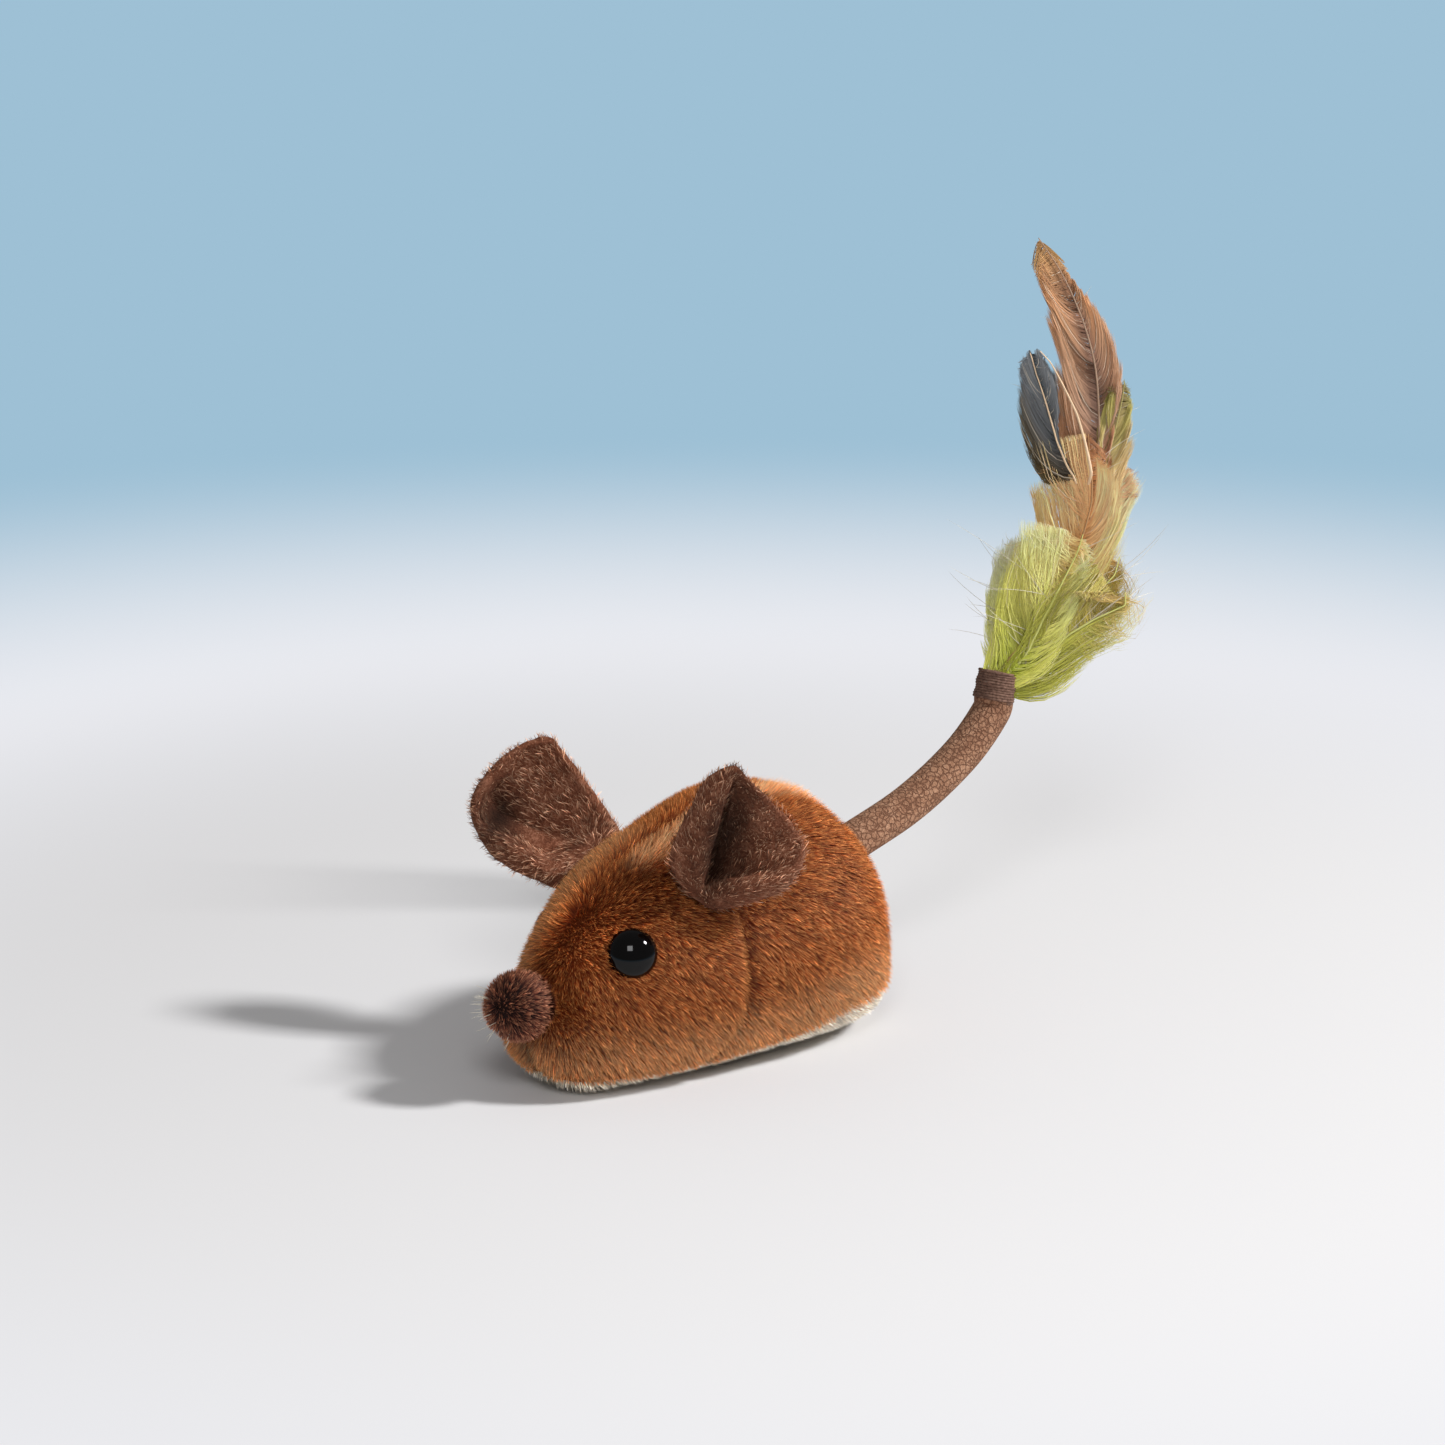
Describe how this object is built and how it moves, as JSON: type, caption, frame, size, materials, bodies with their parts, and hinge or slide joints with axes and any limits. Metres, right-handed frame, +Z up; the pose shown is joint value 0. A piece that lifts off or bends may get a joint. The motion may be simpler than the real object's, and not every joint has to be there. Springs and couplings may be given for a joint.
{
  "type": "plush mouse cat toy",
  "caption": "Plush mouse cat toy with bead eyes, folded suede ears, a bending tail that ends in a feather tuft, and a touch-activated sound unit behind a belly flap.",
  "frame": {"origin": "middle of the bounding box's base, on the surface that the toy stands on", "axes": "+Y from the nose to the tail, +X to the toy's left, +Z up"},
  "size_m": [0.0768, 0.1702, 0.1485],
  "materials": {
    "plush_brown": "short pile plush",
    "plush_cream": "short pile plush",
    "fibre_filling": "loose polyester fibre",
    "suede_brown": "brushed suede cloth",
    "suede_dark": "brushed suede cloth",
    "nose_plush": "short pile plush",
    "black_bead": "polished",
    "fastener_strip": "hook and loop tape",
    "binding_thread": "wound thread",
    "case_plastic": "moulded",
    "bright_steel": "bright",
    "brass_sheet": "bright",
    "board_green": "laminate",
    "lead_red": "insulated",
    "feather_brown": "feather",
    "feather_tan": "feather",
    "feather_slate": "feather",
    "feather_olive": "feather",
    "feather_green": "down"
  },
  "bodies": {
    "mouse": {"head_panel_left": "plush_brown", "head_panel_right": "plush_brown", "body_panel_left": "plush_brown", "body_panel_right": "plush_brown", "belly_panel": "plush_cream", "head_filling": "fibre_filling", "body_filling": "fibre_filling", "nose_patch": "nose_plush", "eye_left": "black_bead", "eye_right": "black_bead", "chip_blob": "black_bead", "piezo_lead_black": "black_bead", "loop_strip": "fastener_strip", "case_lower": "case_plastic", "case_upper": "case_plastic", "battery_door": "case_plastic", "eye_washer_left": "bright_steel", "eye_washer_right": "bright_steel", "door_screw": "bright_steel", "case_screw_left": "bright_steel", "case_screw_right": "bright_steel", "button_cell_1": "bright_steel", "button_cell_2": "bright_steel", "button_cell_3": "bright_steel", "sensor_can": "bright_steel", "switch_body": "bright_steel", "contact_plate": "brass_sheet", "contact_spring": "brass_sheet", "piezo_disc": "brass_sheet", "circuit_board": "board_green", "piezo_lead_red": "lead_red"},
    "belly_flap": {"belly_flap": "plush_cream", "hook_strip": "fastener_strip"},
    "ear_left": {"ear_left_back": "suede_brown", "ear_left_front": "suede_dark"},
    "ear_right": {"ear_right_back": "suede_brown", "ear_right_front": "suede_dark"},
    "tail_root": {"tail_root_knot": "suede_brown"},
    "tail_base": {"tail_sleeve_base": "suede_brown", "tail_core_base": "fibre_filling"},
    "tail_middle": {"tail_sleeve_middle": "suede_brown", "tail_core_middle": "fibre_filling"},
    "tail_tip": {"tail_sleeve_tip": "suede_brown", "tail_core_tip": "fibre_filling"},
    "tuft": {"tail_binding": "binding_thread", "feather_brown_tip": "feather_brown", "feather_slate": "feather_slate", "feather_tan_front": "feather_tan", "feather_olive": "feather_olive", "feather_tan_back": "feather_tan", "feather_green_left": "feather_green", "feather_green_front": "feather_green", "feather_green_right": "feather_green", "feather_green_back": "feather_green"},
    "sensor_ball": {"sensor_ball": "bright_steel"},
    "switch_knob": {"switch_knob": "black_bead"}
  },
  "joints": [
    {"name": "flap_hinge", "type": "hinge", "parent": "mouse", "child": "belly_flap", "pos_m": [0.0018, -0.0063, 0.0011], "axis": [1, 0, 0], "range_deg": [0, 100]},
    {"name": "ear_left_tilt", "type": "hinge", "parent": "mouse", "child": "ear_left", "pos_m": [0.0198, -0.0474, 0.03409], "axis": [0.7287, 0.5693, -0.3807], "range_deg": [-20, 20], "stiffness_Nm_per_rad": 0.002},
    {"name": "ear_right_tilt", "type": "hinge", "parent": "mouse", "child": "ear_right", "pos_m": [-0.014, -0.0459, 0.03815], "axis": [0.4323, 0.3141, 0.8453], "range_deg": [-20, 20], "stiffness_Nm_per_rad": 0.002},
    {"name": "tail_swing", "type": "hinge", "parent": "mouse", "child": "tail_root", "pos_m": [0.0018, 0.0073, 0.0315], "axis": [0, 0, 1], "range_deg": [-40, 40]},
    {"name": "tail_lift", "type": "hinge", "parent": "tail_root", "child": "tail_base", "pos_m": [0.0018, 0.0073, 0.0315], "axis": [1, 0, 0], "range_deg": [-25, 20]},
    {"name": "tail_bend_middle", "type": "hinge", "parent": "tail_base", "child": "tail_middle", "pos_m": [0.0018, 0.02556, 0.03674], "axis": [1, 0, 0], "range_deg": [-35, 25]},
    {"name": "tail_bend_tip", "type": "hinge", "parent": "tail_middle", "child": "tail_tip", "pos_m": [0.0018, 0.04039, 0.04397], "axis": [1, 0, 0], "range_deg": [-35, 25]},
    {"name": "tuft_nod", "type": "hinge", "parent": "tail_tip", "child": "tuft", "pos_m": [0.0018, 0.0492, 0.05136], "axis": [1, 0, 0], "range_deg": [-15, 15], "stiffness_Nm_per_rad": 0.01},
    {"name": "sensor_ball_jump", "type": "slide", "parent": "mouse", "child": "sensor_ball", "axis": [0, 0, 1], "range_m": [0, 0.0012]},
    {"name": "switch_slide", "type": "slide", "parent": "mouse", "child": "switch_knob", "axis": [0, 1, 0], "range_m": [0, 0.002]}
  ]
}
